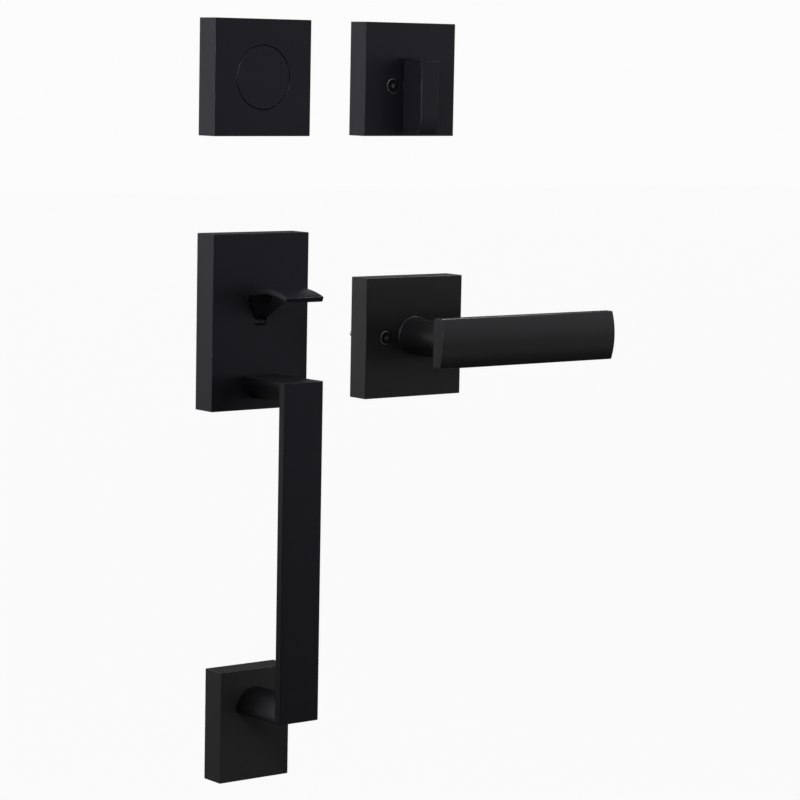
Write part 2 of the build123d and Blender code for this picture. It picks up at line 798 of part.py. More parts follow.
def foot_rose():
    """The small cover under the lower arm."""
    rose = rose_shell(foot_width, foot_height, foot_depth, outer_x, foot_z)
    rose -= rod(foot_boss_r + fit_gap, foot_face_y - over, foot_face_y + front_wall + over, 0.0, lower_arm_z)
    for hole in plate_screw_holes(foot_width, foot_height, outer_x, foot_z):
        rose -= hole
    return rose


def foot_backplate():
    """Backplate of the foot rose."""
    plate = backplate(foot_width, foot_height, outer_x, foot_z)
    return plate - rod(foot_boss_r + fit_gap, backplate_front_y - over, over, 0.0, lower_arm_z)


# Inner lever

def lever_rose():
    """Square cover with the hole of the neck bush and two screw seats."""
    rose = rose_shell(lever_rose_side, lever_rose_side, lever_rose_depth, lever_x, lever_z)
    for side in (-1, 1):
        px = lever_x + side * latch_screw_spacing / 2
        rose += screw_pillar(px, lever_z, lever_face_y)
        for cut in screw_seat(px, lever_z, lever_face_y):
            rose -= cut
    bush_r = neck_r + fit_gap + bush_wall
    rose += tube(bush_r + bush_wall, bush_r, lever_face_y + front_wall - weld, bush_end, lever_x, lever_z)
    rose -= rod(bush_r + hub_gap, lever_face_y - over, bush_end + over, lever_x, lever_z)
    for hole in plate_screw_holes(lever_rose_side, lever_rose_side, lever_x, lever_z):
        rose -= hole
    return rose


def neck_bush():
    """The bush that the neck turns in, its rim standing a little proud of the rose."""
    outer = neck_r + fit_gap + bush_wall
    bush = tube(outer, neck_r + fit_gap, lever_face_y - bush_stand, bush_end, lever_x, lever_z)
    rim = bush.faces().sort_by(Axis.Y)[0].edges().sort_by(SortBy.LENGTH)[-1:]
    return fillet(rim, bush_round)


def lever_blade():
    """The blade: flat behind, crowned in front, cut square at both ends."""
    x0 = lever_x - lever_back
    low = lever_z - lever_height / 2
    high = lever_z + lever_height / 2
    crown = blade_edge_y - blade_crown
    back = blade_back_y
    c = blade_corner
    k = c * (1 - math.sqrt(0.5))
    outline = Wire([
        ThreePointArc((x0, blade_edge_y, low), (x0, crown, lever_z), (x0, blade_edge_y, high)),
        Line((x0, blade_edge_y, high), (x0, back - c, high)),
        ThreePointArc((x0, back - c, high), (x0, back - k, high - k), (x0, back, high - c)),
        Line((x0, back, high - c), (x0, back, low + c)),
        ThreePointArc((x0, back, low + c), (x0, back - k, low + k), (x0, back - c, low)),
        Line((x0, back - c, low), (x0, blade_edge_y, low)),
    ])
    blade = Solid(extrude(Face(outline), amount=lever_length, dir=(1, 0, 0)).wrapped)
    return fillet(blade.edges(), blade_edge)


def lever():
    """Blade and neck, cast in one piece, bored from behind for the hub."""
    neck = rod(neck_r, blade_back_y - weld, neck_end, lever_x, lever_z)
    body = lever_blade() + neck
    ring_y = bush_end + clip_gap
    body -= tube(neck_r + over, neck_groove_r, ring_y - clip_gap / 2,
                 ring_y + neck_ring_height + clip_gap / 2, lever_x, lever_z)
    body -= rod(hub_r + hub_gap, neck_end - hub_depth, 0, lever_x, lever_z)
    hole = Pos(lever_x, set_screw_y, lever_z - neck_r / 2 - over) * Cylinder(set_screw_r + hub_gap, neck_r)
    return body - hole


def lever_retaining_ring():
    """The ring that keeps the neck in its bush."""
    start = bush_end + clip_gap
    return split_ring(neck_ring_r, neck_groove_r + fit_gap, start, start + neck_ring_height, lever_x, lever_z,
                      ring_gap_angle)


def lever_hub():
    """The steel hub in the neck, with the stop lug behind the backplate and the square socket."""
    hub = rod(hub_r, neck_end - hub_depth + hub_front_gap, hub_end, lever_x, lever_z)
    start = backplate_back_y + cam_gap
    hub += rod(hub_flange_r, start, start + hub_flange_height, lever_x, lever_z)
    hub += sector(hub_r - weld, hub_lug_r, start, start + hub_flange_height, hub_lug_angle,
                  hub_lug_half_angle, lever_x, lever_z)
    half = socket_side / 2
    return hub - block(lever_x - half, lever_x + half, hub_end - socket_depth, hub_end + over,
                       lever_z - half, lever_z + half)


def lever_set_screw():
    """The small screw under the neck that locks it to the hub."""
    top = lever_z - hub_r
    low = lever_z - neck_r + set_screw_sink
    screw = Pos(lever_x, set_screw_y, (top + low) / 2) * Cylinder(set_screw_r, top - low)
    socket = extrude(RegularPolygon(set_screw_socket_r, 6), set_screw_socket_depth)
    return screw - Pos(lever_x, set_screw_y, low) * socket


def lever_spring():
    """The torsion spring that brings the lever back."""
    start = bush_end + clip_gap + neck_ring_height + lever_spring_gap + lever_spring_wire_r
    room = backplate_front_y - lever_spring_gap - lever_spring_wire_r - start
    pitch = room / lever_spring_turns
    return coil(lever_spring_coil_r, lever_spring_wire_r, lever_spring_turns, pitch,
                (lever_x, start, lever_z), (0, 1, 0), lever_spring_leg, lever_spring_steps)


def lever_backplate():
    """Backplate of the lever rose, with the bearing of the hub and the two stops of its lug."""
    plate = backplate(lever_rose_side, lever_rose_side, lever_x, lever_z)
    plate -= rod(hub_r + fit_gap, backplate_front_y - over, over, lever_x, lever_z)
    for side in (-1, 1):
        px = lever_x + side * latch_screw_spacing / 2
        plate -= rod(screw_r + fit_gap, backplate_front_y - over, over, px, lever_z)
    reach = hub_lug_half_angle + stop_gap_angle + stop_width_angle / 2
    for middle in (hub_lug_angle + reach, hub_lug_angle - lever_swing - reach):
        plate += sector(stop_inner_r, hub_lug_r, backplate_back_y - weld, cam_gap + hub_flange_height, middle,
                        stop_width_angle / 2, lever_x, lever_z)
    return plate


def lever_screws():
    """The two machine screws of the lever rose."""
    return Compound([machine_screw(lever_x + side * latch_screw_spacing / 2, lever_z, lever_face_y,
                                   lever_screw_reach) for side in (-1, 1)])


NODES = [
    deadbolt_outer_rose, blank_plug, plug_retaining_ring, deadbolt_outer_backplate, deadbolt_outer_posts,
    deadbolt_inner_rose, thumb_turn, turn_washer, turn_clip, turn_tailpiece, deadbolt_inner_backplate,
    deadbolt_screws,
    handle_plate, handle_backplate, handle_posts, thumb_piece, thumb_pivot_pin, thumb_spring, lift_cam,
    cam_clip, latch_spindle, grip, grip_screws, foot_rose, foot_backplate,
    lever_rose, neck_bush, lever, lever_retaining_ring, lever_hub, lever_set_screw, lever_spring,
    lever_backplate, lever_screws,
    backplate_screws,
]

os.makedirs("parts", exist_ok=True)
for make in NODES:
    shape = make()
    export_step(shape, f"parts/{make.__name__}.step")
    volume = sum(solid.volume for solid in shape.solids())
    print(make.__name__, "solids", len(shape.solids()), "volume", round(volume))
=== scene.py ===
# %% [markdown]
# # Entry door handleset in satin black
#
# A handleset is the set of trims that one entry door carries: outside a deadbolt rose and a
# handle plate with a thumb piece and a long grip, inside a deadbolt rose with a thumb turn and
# a lever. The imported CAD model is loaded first. It gives every size, and each finished piece
# below takes the place of one of its nodes.

# %% Load the frame
import json
import math

import bmesh
import bpy
from mathutils import Matrix, Vector


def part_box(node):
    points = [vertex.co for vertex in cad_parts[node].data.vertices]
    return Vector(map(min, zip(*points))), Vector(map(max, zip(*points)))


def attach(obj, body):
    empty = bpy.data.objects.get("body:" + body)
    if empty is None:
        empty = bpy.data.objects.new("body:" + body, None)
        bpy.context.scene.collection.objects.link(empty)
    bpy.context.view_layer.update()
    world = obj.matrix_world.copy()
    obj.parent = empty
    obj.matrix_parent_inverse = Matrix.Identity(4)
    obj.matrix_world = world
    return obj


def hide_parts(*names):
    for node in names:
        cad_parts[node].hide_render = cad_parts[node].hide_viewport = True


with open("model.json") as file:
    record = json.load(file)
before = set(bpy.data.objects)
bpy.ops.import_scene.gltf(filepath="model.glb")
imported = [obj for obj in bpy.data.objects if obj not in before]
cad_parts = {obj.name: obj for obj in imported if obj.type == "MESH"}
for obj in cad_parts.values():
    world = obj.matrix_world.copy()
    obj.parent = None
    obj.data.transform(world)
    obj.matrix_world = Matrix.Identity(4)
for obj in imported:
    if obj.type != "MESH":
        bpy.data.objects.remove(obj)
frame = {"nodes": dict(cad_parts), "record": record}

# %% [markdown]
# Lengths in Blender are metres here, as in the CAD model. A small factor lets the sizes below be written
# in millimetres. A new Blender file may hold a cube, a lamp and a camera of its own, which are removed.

MM = 0.001
for spare in ("Cube", "Light", "Camera"):
    if spare in bpy.data.objects:
        bpy.data.objects.remove(bpy.data.objects[spare])
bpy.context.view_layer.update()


def in_mm(*lengths):
    """Lengths in millimetres with one decimal, for printing."""
    return [round(length / MM, 1) for length in lengths]


# %% [markdown]
# ## Shader maths in plain expressions
#
# A finish is a graph of nodes. Written node by node it hides what it computes, so one small
# class wraps a socket: adding or multiplying two of them adds the Math node that does it. Two
# methods turn a value into a mask with a soft step, past an edge or short of it.

# %% Sockets that can be added and multiplied
class Signal:
    """One output socket that can be used in arithmetic."""

    def __init__(self, graph, socket):
        self.graph = graph
        self.socket = socket

    def maths(self, operation, first, second):
        """Adds one Math node."""
        return self.graph.node("ShaderNodeMath", {"operation": operation}, {0: first, 1: second})

    def __add__(self, other):
        return self.maths("ADD", self, other)

    def __radd__(self, other):
        return self.maths("ADD", other, self)

    def __sub__(self, other):
        return self.maths("SUBTRACT", self, other)

    def __rsub__(self, other):
        return self.maths("SUBTRACT", other, self)

    def __mul__(self, other):
        return self.maths("MULTIPLY", self, other)

    def __rmul__(self, other):
        return self.maths("MULTIPLY", other, self)

    def __truediv__(self, other):
        return self.maths("DIVIDE", self, other)

    def __rtruediv__(self, other):
        return self.maths("DIVIDE", other, self)

    def __pow__(self, other):
        return self.maths("POWER", self, other)

    def at_least(self, least):
        return self.maths("MAXIMUM", self, least)

    def at_most(self, most):
        return self.maths("MINIMUM", self, most)

    def clamped(self):
        """The value, kept between 0 and 1."""
        return self.at_least(0.0).at_most(1.0)

    def past(self, edge, width):
        """0 up to the edge, and 1 from a width beyond it."""
        return ((self - edge) / width).clamped()

    def short_of(self, edge, width):
        """1 up to a width before the edge, and 0 from the edge on."""
        return ((edge - self) / width).clamped()


print("signals ready")

# %% [markdown]
# The class Graph adds every other kind of node by one method, for a material or for the world.
# The class Finish is the graph of one material. It knows the patterns that the finishes share:
# noise, the distance from an axis, a mix of two colours and relief.

# %% A graph with one method for every node
class Graph:
    """The nodes of a material or of the world, added one by one."""

    def __init__(self, tree):
        self.tree = tree

    def node(self, kind, settings=None, inputs=None, output=0):
        """Adds a node: settings first, then the values or links of its sockets."""
        made = self.tree.nodes.new(kind)
        for key, value in (settings or {}).items():
            setattr(made, key, value)
        for key, value in (inputs or {}).items():
            self.feed(made.inputs[key], value)
        return Signal(self, made.outputs[output])

    def feed(self, socket, value):
        """Links a signal to a socket, or sets the socket to a plain value."""
        if isinstance(value, Signal):
            self.tree.links.new(value.socket, socket)
        else:
            socket.default_value = value


# %% Materials and their patterns
class Finish(Graph):
    """One material, starting from its Principled BSDF."""

    def __init__(self, name):
        self.material = bpy.data.materials.new(name)
        self.material.use_nodes = True
        super().__init__(self.material.node_tree)
        self.surface = self.tree.nodes["Principled BSDF"]

    def place(self):
        """The point on the piece, in metres."""
        return self.node("ShaderNodeTexCoord", output="Object")

    def axis(self, letter):
        """One coordinate of the point on the piece, in metres."""
        return self.node("ShaderNodeSeparateXYZ", None, {0: self.place()}, output=letter)

    def from_axis(self, x, z):
        """How far the point is from an axis along Y."""
        moved = self.node("ShaderNodeMapping", {"vector_type": "POINT"},
                          {0: self.place(), "Location": (-x, 0, -z)})
        flat = self.node("ShaderNodeVectorMath", {"operation": "MULTIPLY"}, {0: moved, 1: (1, 0, 1)})
        return self.node("ShaderNodeVectorMath", {"operation": "LENGTH"}, {0: flat}, output="Value")

    def noise(self, size, detail=2.0, rough=0.5, stretch=(1, 1, 1)):
        """Noise between 0 and 1 whose grains are about size metres across."""
        scaled = self.node("ShaderNodeMapping", None,
                           {0: self.place(), "Scale": [s / size for s in stretch]})
        return self.node("ShaderNodeTexNoise", {"noise_dimensions": "3D"},
                         {"Vector": scaled, "Scale": 1.0, "Detail": detail, "Roughness": rough})

    def mix(self, factor, first, second):
        """A colour between two colours."""
        return self.node("ShaderNodeMix", {"data_type": "RGBA"},
                         {0: factor, 6: first, 7: second}, output=2)

    def bump(self, height, depth, strength):
        """Relief: height is 0 to 1 and depth is what 1 means, in metres."""
        return self.node("ShaderNodeBump", None,
                         {"Height": height, "Distance": depth, "Strength": strength})

    def set(self, **values):
        """Sets or links sockets of the Principled BSDF; underscores stand for spaces."""
        for key, value in values.items():
            self.feed(self.surface.inputs[key.replace("_", " ")], value)
        return self.material


print("shader classes ready")

# %% [markdown]
# ## The black coating
#
# The castings wear a satin black coating, baked on in one go. Close to, it isn't flat: the film
# has a fine orange peel, and its gloss drifts a little where it lies thicker or thinner. Both
# are noise, one of about a third of a millimetre for the peel and a slow one for the drift.
# The colour itself is almost black with a touch of blue, as the photo shows it. Where shade falls, under
# the thumb piece's pad and on the grip's arms near the plates, a darker and duller film is painted in as
# painted shade. That is a second surface, and a Mix Shader goes over to it by a share that the piece
# gives.

# %% Values of the coating
drift_size = 22 * MM
peel_size = 0.35 * MM
peel_depth = 0.012 * MM
coat_colour = (0.0060, 0.0058, 0.0080)
coat_roughness = 0.40
coat_gloss = 0.40
coat_tint = (0.86, 0.84, 1.0)
no_tint = (1, 1, 1)
# The colours of the painted shade film, darker than the coating.
painted_shade_dark = (0.0030, 0.0030, 0.0036, 1)
painted_shade_pale = (0.0045, 0.0045, 0.0052, 1)


def shades(colour, dark=0.86, light=1.16):
    """A darker and a lighter shade of one colour."""
    return [c * dark for c in colour] + [1], [min(c * light, 1) for c in colour] + [1]


print("coating with a drift", in_mm(drift_size), "and a peel", in_mm(peel_size))


# %% Satin black coating
def painted_shade_film(finish, share):
    """Goes over to a darker, duller film by the given share: painted shade where shade falls."""
    grain = finish.noise(peel_size, detail=1.0)
    painted_shade = finish.node("ShaderNodeBsdfPrincipled", None, {
        "Base Color": finish.mix(grain, painted_shade_dark, painted_shade_pale),
        "Roughness": 0.62 + 0.06 * (grain - 0.5), "Specular IOR Level": 0.06})
    mixed = finish.node("ShaderNodeMixShader", None, {
        0: share, 1: Signal(finish, finish.surface.outputs[0]), 2: painted_shade})
    finish.feed(finish.tree.nodes["Material Output"].inputs["Surface"], mixed)


def black_coating(name, colour=coat_colour, roughness=coat_roughness, gloss=coat_gloss,
                  tint=coat_tint, painted_shade_share=None):
    """Coated zinc: a fine peel, a slow drift in gloss and tone, and painted shade where a share for it
    is given.
    """
    finish = Finish(name)
    drift = finish.noise(drift_size, detail=3.0)
    grain = finish.noise(0.9 * MM, detail=2.0)
    peel = finish.noise(peel_size, detail=1.0)
    tone = (drift * 0.7 + grain * 0.3).clamped()
    # Painted shade, where the piece gives a share for it.
    if painted_shade_share:
        painted_shade_film(finish, painted_shade_share(finish))
    return finish.set(Base_Color=finish.mix(tone, *shades(colour)),
                      Roughness=roughness + 0.07 * (drift - 0.5) + 0.05 * (grain - 0.5),
                      Specular_IOR_Level=gloss, Specular_Tint=(*tint, 1),
                      Normal=finish.bump(peel * 0.65 + grain * 0.35, peel_depth, 0.55))


coating = black_coating("satin black coating")
lever_coating = black_coating("satin black lever coating", (0.0066, 0.0060, 0.0066),
                              0.36, 0.46, (0.98, 0.94, 1.0))
# The foot cover's coating is painted lighter than the others: its colour stands in for the light falling
# on the foot.
foot_coating_painted_lighter = black_coating("matt black foot coating, painted lighter", (0.0310, 0.0308, 0.0305),
                             0.48, 0.28, no_tint)
screw_coating = black_coating("black screw oxide", (0.0070, 0.0070, 0.0080),
                              0.20, 0.90, no_tint)
print("coatings:", coating.name, "and", lever_coating.name, "and", foot_coating_painted_lighter.name)

# %% [markdown]
# The blank disc of the outer deadbolt rose is turned on a lathe before it is coated. The tool
# leaves rings that are finer than a hair, which the coating nearly fills. Rings are the waves
# of the distance from the disc's centre.

# %% Coating over a turned face
ring_pitch = 0.55 * MM


def turned_coating(name, x, z, colour, roughness):
    """The coating over fine lathe rings about an axis along Y."""
    finish = Finish(name)
    wobble = finish.noise(5 * MM, detail=2.0)
    rings = finish.node("ShaderNodeMath", {"operation": "SINE"},
                        {0: finish.from_axis(x, z) * (2 * math.pi / ring_pitch) + wobble * 2.0})
    drift = finish.noise(15 * MM, detail=3.0)
    peel = finish.noise(peel_size, detail=1.0)
    height = 0.5 + 0.25 * rings + 0.4 * (peel - 0.5)
    return finish.set(Base_Color=finish.mix(drift, *shades(colour)),
                      Roughness=roughness + 0.06 * (drift - 0.5),
                      Specular_IOR_Level=coat_gloss, Specular_Tint=(*coat_tint, 1),
                      Normal=finish.bump(height, 0.008 * MM, 0.5))


disc_low, disc_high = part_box("blank_plug")
disc_x = (disc_low.x + disc_high.x) / 2
disc_z = (disc_low.z + disc_high.z) / 2
disc_coating = turned_coating("satin black turned disc", disc_x, disc_z,
                              (0.0070, 0.0068, 0.0092), 0.38)
print("disc coating centred on", in_mm(disc_x, disc_z))

# %% [markdown]
# ## The metal behind
#
# Nobody sees the backs once the set is on a door, so they are plain zinc plated steel: cool
# grey, a little cloudy, with fine rolling lines on the plates. The springs and clips are
# blackened and oily.

# %% Plated steel, spring steel and nylon
def plated_steel(name, colour, roughness, relief):
    """Plated sheet or turned steel with cloudy plating and fine lines along X."""
    finish = Finish(name)
    cloud = finish.noise(9 * MM, detail=4.0, rough=0.6)
    scratches = finish.noise(0.5 * MM, detail=2.0, stretch=(0.04, 1, 1))
    tone = (cloud * 0.8 + scratches * 0.2).clamped()
    return finish.set(Base_Color=finish.mix(tone, *shades(colour, 0.72, 1.1)), Metallic=1.0,
                      Roughness=roughness + 0.16 * (cloud - 0.5) + 0.1 * (scratches - 0.5),
                      Normal=finish.bump(scratches, relief, 0.4))


steel = plated_steel("zinc plated steel", (0.56, 0.57, 0.60), 0.36, 0.010 * MM)
spring_steel = plated_steel("blackened spring steel", (0.055, 0.055, 0.060), 0.32, 0.004 * MM)
nylon = Finish("natural nylon")
milky = nylon.noise(2 * MM, detail=3.0)
nylon.set(Base_Color=nylon.mix(milky, (0.74, 0.72, 0.66, 1), (0.84, 0.82, 0.77, 1)),
          Roughness=0.42 + 0.1 * (milky - 0.5), Normal=nylon.bump(milky, 0.01 * MM, 0.3))
print("hidden metals ready")

# %% [markdown]
# Every node of the CAD model that stays in view gets the finish of its material slot.

# %% Finishes for the CAD nodes
slot_finish = {"black_coat": coating, "black_screw": screw_coating, "plated_steel": steel,
               "spring_steel": spring_steel, "nylon": nylon.material}
node_slot = {part["node"]: part["material_slot"] for part in frame["record"]["subparts"]}
for name, node in frame["nodes"].items():
    node.data.materials.clear()
    node.data.materials.append(slot_finish[node_slot[name]])
print(len(frame["nodes"]), "CAD nodes painted")

# %% [markdown]
# ## Small helpers for modelling
#
# The pieces are made as by hand: a primitive is added, and edit mode operators shape it. An
# operator acts on all that is selected, so one helper clears the selection and enters edit
# mode, and others select edges or faces by where they are, or by how sharp they are.

# %% Enter and leave edit mode
def only(piece):
    """Selects one object alone and makes it active."""
    bpy.ops.object.select_all(action="DESELECT")
    piece.select_set(True)
    bpy.context.view_layer.objects.active = piece


def edit(piece, mode, action="DESELECT"):
    """Enters edit mode for VERT, EDGE or FACE, with nothing selected, or all where action says so."""
    only(piece)
    bpy.ops.object.mode_set(mode="EDIT")
    bpy.ops.mesh.select_mode(type=mode)
    bpy.ops.mesh.select_all(action=action)


def done():
    bpy.ops.object.mode_set(mode="OBJECT")


# %% Select by place
def pick(piece, kind, test):
    """Selects the verts, edges or faces that pass the test, and returns how many did."""
    mesh = bmesh.from_edit_mesh(piece.data)
    chosen = 0
    for item in getattr(mesh, kind):
        if test(item):
            item.select_set(True)
            chosen += 1
    mesh.select_flush_mode()
    bmesh.update_edit_mesh(piece.data)
    return chosen


def near(value, target, within=0.02 * MM):
    return abs(value - target) < within


def middle(item):
    """The middle of an edge or a face."""
    total = Vector()
    for vert in item.verts:
        total += vert.co
    return total / len(item.verts)


def sharp(edge, degrees=50):
    """True for an edge where two faces meet at more than this angle."""
    return len(edge.link_faces) == 2 and edge.calc_face_angle(0) > math.radians(degrees)


print("selection helpers ready")

# %% [markdown]
# Two primitives start nearly every piece: a block between two corners, and a round bar along Y,
# the way a door's hardware goes through the door. Their place is applied to the mesh at once,
# so that the object itself stays at the origin, as a CAD node's does.

# %% A block and a bar from primitives
def apply_place():
    bpy.ops.object.transform_apply(location=True, rotation=True, scale=True)


def block(name, low, high):
    """A box between two corners, its object at the origin."""
    low, high = Vector(low), Vector(high)
    bpy.ops.mesh.primitive_cube_add(size=1, location=(low + high) / 2)
    piece = bpy.context.object
    piece.name = name
    piece.scale = high - low
    apply_place()
    return piece


def bar(name, radius, y0, y1, x, z, sides=96):
    """A round bar along Y."""
    bpy.ops.mesh.primitive_cylinder_add(vertices=sides, radius=radius, depth=abs(y1 - y0),
                                        location=(x, (y0 + y1) / 2, z), rotation=(math.pi / 2, 0, 0))
    piece = bpy.context.object
    piece.name = name
    apply_place()
    return piece


print("primitive helpers ready")

# %% [markdown]
# Boolean modifiers join pieces and cut holes in them, and most of what they join or cut is a
# round bar. Bisect adds a ring of edges in a plane, and its vertices can then be moved.

# %% Cut, join and move
def combine(piece, other, operation):
    """Applies a Boolean of two meshes and removes the second."""
    only(piece)
    step = piece.modifiers.new("combine", "BOOLEAN")
    step.operation = operation
    step.solver = "EXACT"
    step.object = other
    bpy.ops.object.modifier_apply(modifier=step.name)
    bpy.data.objects.remove(other)


def drill(piece, radius, y0, y1, x, z, sides=64):
    """Cuts a round hole along Y."""
    combine(piece, bar("drill", radius, y0, y1, x, z, sides), "DIFFERENCE")


def add_bar(piece, radius, y0, y1, x, z, sides=64):
    """Joins a round bar along Y to a piece."""
    combine(piece, bar("joined bar", radius, y0, y1, x, z, sides), "UNION")


def slice_at(piece, spot, across, cut_off=False):
    """Adds a ring of edges in a plane, or cuts off all beyond it and closes the cut."""
    edit(piece, "FACE", "SELECT")
    bpy.ops.mesh.bisect(plane_co=spot, plane_no=across, use_fill=cut_off, clear_outer=cut_off)
    done()


def shift(piece, test, move):
    """Moves the vertices that pass the test."""
    edit(piece, "VERT")
    pick(piece, "verts", test)
    bpy.ops.transform.translate(value=move)
    done()


print("cutting helpers ready")

# %% [markdown]
# A finished piece gets narrow rounded edges, which catch the light, and weighted normals, which
# keep the large flat faces flat beside them. Then it takes the place of its CAD node.

# %% Round, paint and place
def bevel(piece, width, steps, test):
    """Rounds the edges that pass the test."""
    edit(piece, "EDGE")
    count = pick(piece, "edges", test)
    bpy.ops.mesh.bevel(offset=width, segments=steps, profile=0.5, affect="EDGES")
    done()
    return count


def dress(piece, material, node, body, angle=30):
    """Shades a finished piece, paints it and puts it in the place of its CAD node."""
    only(piece)
    bpy.ops.object.shade_smooth_by_angle(angle=math.radians(angle))
    even = piece.modifiers.new("even shading", "WEIGHTED_NORMAL")
    even.keep_sharp = True
    bpy.ops.object.modifier_apply(modifier=even.name)
    piece.data.materials.clear()
    piece.data.materials.append(material)
    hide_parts(node)
    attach(piece, body)
    print(piece.name, len(piece.data.polygons), "faces")


# %% [markdown]
# ## The square covers
#
# Each rose is a cast cover: a flat front and four walls, open behind. It starts as a block of
# the CAD node's size. The back face is inset by the wall and pushed in, which makes the hollow,
# and then the outer edges are rounded. The rounding is small but it matters most of all here:
# on a black piece the thin light lines along the edges are what draws its shape.

# %% Covers
wall = 2.6 * MM
front_wall = 3.0 * MM
edge_round = 0.35 * MM


def cover(name, node):
    """A cover as large as its CAD node, with a hollow behind and rounded outer edges."""
    low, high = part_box(node)
    piece = block(name, low, high)
    edit(piece, "FACE")
    pick(piece, "faces", lambda face: face.normal.y > 0.9)
    bpy.ops.mesh.inset(thickness=wall, depth=0)
    push_in = (0, front_wall - (high.y - low.y), 0)
    bpy.ops.mesh.extrude_region_move(TRANSFORM_OT_translate={"value": push_in})
    done()

    def outer(edge):
        spot = middle(edge)
        side = near(spot.x, low.x) or near(spot.x, high.x)
        level = near(spot.z, low.z) or near(spot.z, high.z)
        return (side and level) or (near(spot.y, low.y) and (side or level))

    bevel(piece, edge_round, 4, outer)
    return piece, low, high


outer_deadbolt, outer_low, _ = cover("outer_deadbolt_cover", "deadbolt_outer_rose")
inner_deadbolt, inner_low, inner_high = cover("inner_deadbolt_cover", "deadbolt_inner_rose")
plate, plate_low, _ = cover("handle_plate_cover", "handle_plate")
foot, foot_low, _ = cover("foot_cover", "foot_rose")
lever_cover, lever_low, lever_high = cover("lever_cover", "lever_rose")
print("five covers")

# %% [markdown]
# The outer deadbolt rose has a round opening for its blank disc. A bar cuts it, and a narrow
# bevel breaks the sharp rim, so that a thin ring of light shows round the disc.

# %% Opening of the outer deadbolt rose
def rim_at(radius, x, z, y):
    """A test for the edges of a round hole in the plane at y."""
    def test(edge):
        spot = middle(edge)
        flat = all(near(vert.co.y, y) for vert in edge.verts)
        away = math.hypot(spot.x - x, spot.z - z)
        return flat and abs(away - radius) < 0.1 * MM
    return test


opening_r = 18.5 * MM
opening_rim = 0.32 * MM
drill(outer_deadbolt, opening_r, outer_low.y - 5 * MM, outer_low.y + 8 * MM, disc_x, disc_z, 128)
rim_count = bevel(outer_deadbolt, opening_rim, 3, rim_at(opening_r, disc_x, disc_z, outer_low.y))
print("rim edges", rim_count)
dress(outer_deadbolt, coating, "deadbolt_outer_rose", "trims")

# %% [markdown]
# ## The blank disc
#
# The disc is turned: a flat face with a fine rounding at its rim, and a flange behind the front
# wall that keeps it from falling out. It starts as a cylinder, its front rim is bevelled, and a
# wider bar joined to it makes the flange.

# %% Blank disc
disc_r = 18.2 * MM
disc_rim = 0.5 * MM
flange_r = 20.3 * MM
disc = bar("blank_disc", disc_r, outer_low.y, outer_low.y + 6.5 * MM, disc_x, disc_z, 128)
bevel(disc, disc_rim, 4, rim_at(disc_r, disc_x, disc_z, outer_low.y))
add_bar(disc, flange_r, outer_low.y + 3 * MM, outer_low.y + 5 * MM, disc_x, disc_z, 128)
dress(disc, disc_coating, "blank_plug", "trims")

# %% [markdown]
# ## Machine screws
#
# The inner trims are held by two machine screws each. A pan head is a short cylinder with a well
# rounded rim, and its cross recess is cut by two tapered wedges. The seats are cut into the covers
# with plain bars.

# %% One screw head
head_r = 4.4 * MM
head_height = 2.2 * MM
head_drop = 0.3 * MM
head_round = 1.0 * MM
seat_r = 4.75 * MM
seat_rim = 0.12 * MM
shank_r = 1.75 * MM
thread_r = 2.0 * MM
thread_start = 1.0 * MM
recess_size = (4.6 * MM, 3.0 * MM, 1.1 * MM)
recess_taper = (0.35, 1, 0.6)


def screw_head(name, x, z, top, end_y, turn):
    """A screw from top to end_y with a pan head and its cross recess, turned by an angle."""
    head = bar(name, head_r, top, top + head_height, x, z, 64)
    bevel(head, head_round, 5, rim_at(head_r, x, z, top))
    for angle in (turn, turn + math.pi / 2):
        bpy.ops.mesh.primitive_cube_add(size=1, location=(x, top, z))
        wedge = bpy.context.object
        wedge.scale = recess_size
        apply_place()
        edit(wedge, "FACE")
        pick(wedge, "faces", lambda face: face.normal.y > 0.9)
        bpy.ops.transform.resize(value=recess_taper, center_override=(x, top + recess_size[1] / 2, z))
        bpy.ops.mesh.select_all(action="SELECT")
        bpy.ops.transform.rotate(value=angle, orient_axis="Y", center_override=(x, top, z))
        done()
        combine(head, wedge, "DIFFERENCE")
    add_bar(head, shank_r, top + head_height - 0.2 * MM, thread_start, x, z, 32)
    add_bar(head, thread_r, thread_start, end_y, x, z, 32)
    return head


def seat(piece, x, z, face_y):
    """Counterbores a cover for one screw head and breaks the rim."""
    drill(piece, seat_r, face_y - 3 * MM, face_y + 8 * MM, x, z)
    bevel(piece, seat_rim, 2, rim_at(seat_r, x, z, face_y))


print("screw head", in_mm(2 * head_r, head_height))

# %% [markdown]
# The rims and the insides of the recesses are painted bright bare steel: painted highlights for the
# glints on the heads. So the finish of a pair is told where its two heads are. A mask of the distance
# from the nearer screw's axis picks the ring at the rim, and one of the depth below the top picks the
# recess.

# %% Screw pairs and their finish
oxide = (0.0030, 0.0030, 0.0034, 1)
painted_glint_steel = (0.62, 0.62, 0.64, 1)
rim_from = 3.75 * MM
rim_to = 4.25 * MM
recess_reach = 2.5 * MM


def screw_finish(name, columns, z, top):
    """Dull black oxide, with bright bare steel painted on the rim and in the recess of each head as
    painted highlights.
    """
    finish = Finish(name)
    away = finish.from_axis(columns[0], z).at_most(finish.from_axis(columns[1], z))
    depth = finish.axis("Y") - top
    grain = finish.noise(0.4 * MM, detail=2.0)
    rim = away.past(rim_from, 0.15 * MM) * away.short_of(rim_to, 0.15 * MM)
    recess = away.short_of(recess_reach, 0.2 * MM) * depth.past(0.1 * MM, 0.1 * MM)
    # Painted highlights: the rims and recesses go over to bright bare steel.
    painted_highlight = ((rim + recess) * (0.6 + 0.8 * grain)).clamped()
    return finish.set(Base_Color=finish.mix(painted_highlight, oxide, painted_glint_steel), Metallic=painted_highlight,
                      Roughness=0.34 - 0.12 * painted_highlight + 0.05 * (grain - 0.5),
                      Specular_IOR_Level=0.22, Normal=finish.bump(grain, 0.01 * MM, 0.4))


